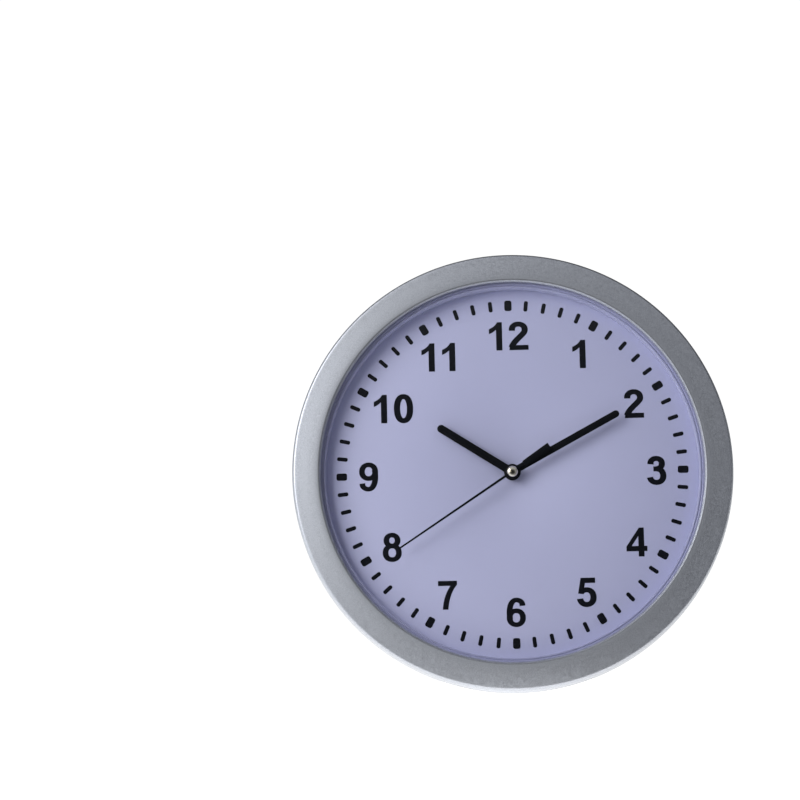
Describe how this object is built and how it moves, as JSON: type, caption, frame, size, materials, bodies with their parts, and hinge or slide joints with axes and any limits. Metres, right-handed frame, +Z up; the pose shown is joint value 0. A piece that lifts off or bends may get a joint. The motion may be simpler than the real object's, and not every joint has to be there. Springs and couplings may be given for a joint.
{
  "type": "clock diversion safe",
  "caption": "Round wall clock whose ring, lens, dial and movement form a hinged door over a shallow hidden box with shelves; hangs on a keyhole.",
  "frame": {"origin": "centre of the flat back face, on the clock's axis, where the clock meets the wall", "axes": "+Z up to 12 o'clock, +X to 3 o'clock, +Y out of the back face into the wall, so the dial faces -Y"},
  "size_m": [0.252, 0.06, 0.252],
  "materials": {
    "ring_silver": "satin silver paint with fine flake",
    "housing_black": "fine spark-eroded moulded texture",
    "insert_black": "fine moulded texture",
    "screw_steel": "zinc plated",
    "pin_steel": "bright",
    "magnet_nickel": "nickel plated",
    "clear_lens": "clear polished",
    "pan_lavender": "satin",
    "dial_lavender": "satin printed card",
    "washer_rubber": "matte",
    "brass": "turned",
    "movement_black": "moulded",
    "core_steel": "stamped",
    "copper_wire": "enamelled copper wire",
    "board_green": "solder mask",
    "cell_wrap": "plain wrapped can",
    "rotor_magnet": "sintered",
    "gear_nylon": "natural nylon",
    "hand_black": "black lacquer",
    "cap_nickel": "polished nickel"
  },
  "bodies": {
    "safe_body": {"rear_housing": "housing_black", "compartment_insert": "insert_black", "insert_screw_1": "screw_steel", "insert_screw_2": "screw_steel", "insert_screw_3": "screw_steel", "insert_screw_4": "screw_steel", "hinge_pin": "pin_steel", "catch_magnet": "magnet_nickel"},
    "door": {"bezel": "ring_silver", "lens": "clear_lens", "dial_pan": "pan_lavender", "dial": "dial_lavender", "spacer_ring": "pan_lavender", "pan_screw_1": "screw_steel", "pan_screw_2": "screw_steel", "pan_screw_3": "screw_steel", "pan_screw_4": "screw_steel", "pan_screw_5": "screw_steel", "pan_screw_6": "screw_steel", "strike_plate": "pin_steel", "rubber_washer": "washer_rubber", "movement_case": "movement_black", "movement_cover": "movement_black", "middle_plate": "movement_black", "stator": "core_steel", "coil_core": "core_steel", "coil_winding": "copper_wire", "circuit_board": "board_green", "quartz_crystal": "pin_steel", "contact_positive": "pin_steel", "contact_negative": "pin_steel"},
    "minute_set": {"minute_arbor": "brass", "minute_hand": "hand_black"},
    "minute_wheel_set": {"minute_wheel": "gear_nylon"},
    "hour_set": {"hour_wheel": "gear_nylon", "hour_hand": "hand_black"},
    "knob_set": {"setting_knob": "movement_black"},
    "second_set": {"second_wheel": "gear_nylon", "second_hand": "hand_black", "centre_cap": "cap_nickel"},
    "third_set": {"third_wheel": "gear_nylon"},
    "centre_set": {"centre_wheel": "gear_nylon"},
    "intermediate_set": {"intermediate_wheel": "gear_nylon"},
    "rotor_set": {"rotor": "rotor_magnet"},
    "cell": {"battery_aa": "cell_wrap"}
  },
  "joints": [
    {"name": "door_hinge", "type": "hinge", "parent": "safe_body", "child": "door", "pos_m": [-0.1195, -0.041, 0], "axis": [0, 0, -1], "range_deg": [0, 105]},
    {"name": "minute_turn", "type": "hinge", "parent": "door", "child": "minute_set", "pos_m": [0, -0.045, 0], "axis": [0, 1, 0], "continuous": true},
    {"name": "minute_wheel_turn", "type": "hinge", "parent": "door", "child": "minute_wheel_set", "pos_m": [0.00791, -0.0395, -0.0012], "axis": [0, 1, 0], "continuous": true},
    {"name": "hour_turn", "type": "hinge", "parent": "door", "child": "hour_set", "pos_m": [0, -0.045, 0], "axis": [0, 1, 0], "continuous": true},
    {"name": "knob_turn", "type": "hinge", "parent": "door", "child": "knob_set", "pos_m": [0.01579, -0.032, -0.00259], "axis": [0, 1, 0], "continuous": true},
    {"name": "second_turn", "type": "hinge", "parent": "door", "child": "second_set", "pos_m": [0, -0.045, 0], "axis": [0, 1, 0], "continuous": true},
    {"name": "third_wheel_turn", "type": "hinge", "parent": "door", "child": "third_set", "pos_m": [-0.00781, -0.0345, 0.00656], "axis": [0, 1, 0], "continuous": true},
    {"name": "centre_wheel_turn", "type": "hinge", "parent": "door", "child": "centre_set", "pos_m": [0, -0.036, 0], "axis": [0, 1, 0], "continuous": true},
    {"name": "intermediate_turn", "type": "hinge", "parent": "door", "child": "intermediate_set", "pos_m": [0.0042, -0.031, 0.00727], "axis": [0, 1, 0], "continuous": true},
    {"name": "rotor_turn", "type": "hinge", "parent": "door", "child": "rotor_set", "pos_m": [0.01209, -0.0315, 0.01015], "axis": [0, 1, 0], "continuous": true},
    {"name": "cell_pull", "type": "slide", "parent": "door", "child": "cell", "axis": [0, 1, 0], "range_m": [0, 0.018]}
  ],
  "couplings": [
    {"joint": "minute_wheel_turn", "follows": "minute_turn", "ratio": -0.33333},
    {"joint": "hour_turn", "follows": "minute_turn", "ratio": 0.083333},
    {"joint": "knob_turn", "follows": "minute_turn", "ratio": 1},
    {"joint": "third_wheel_turn", "follows": "second_turn", "ratio": -0.13333},
    {"joint": "centre_wheel_turn", "follows": "second_turn", "ratio": 0.016667},
    {"joint": "intermediate_turn", "follows": "second_turn", "ratio": -5},
    {"joint": "rotor_turn", "follows": "second_turn", "ratio": 30}
  ]
}
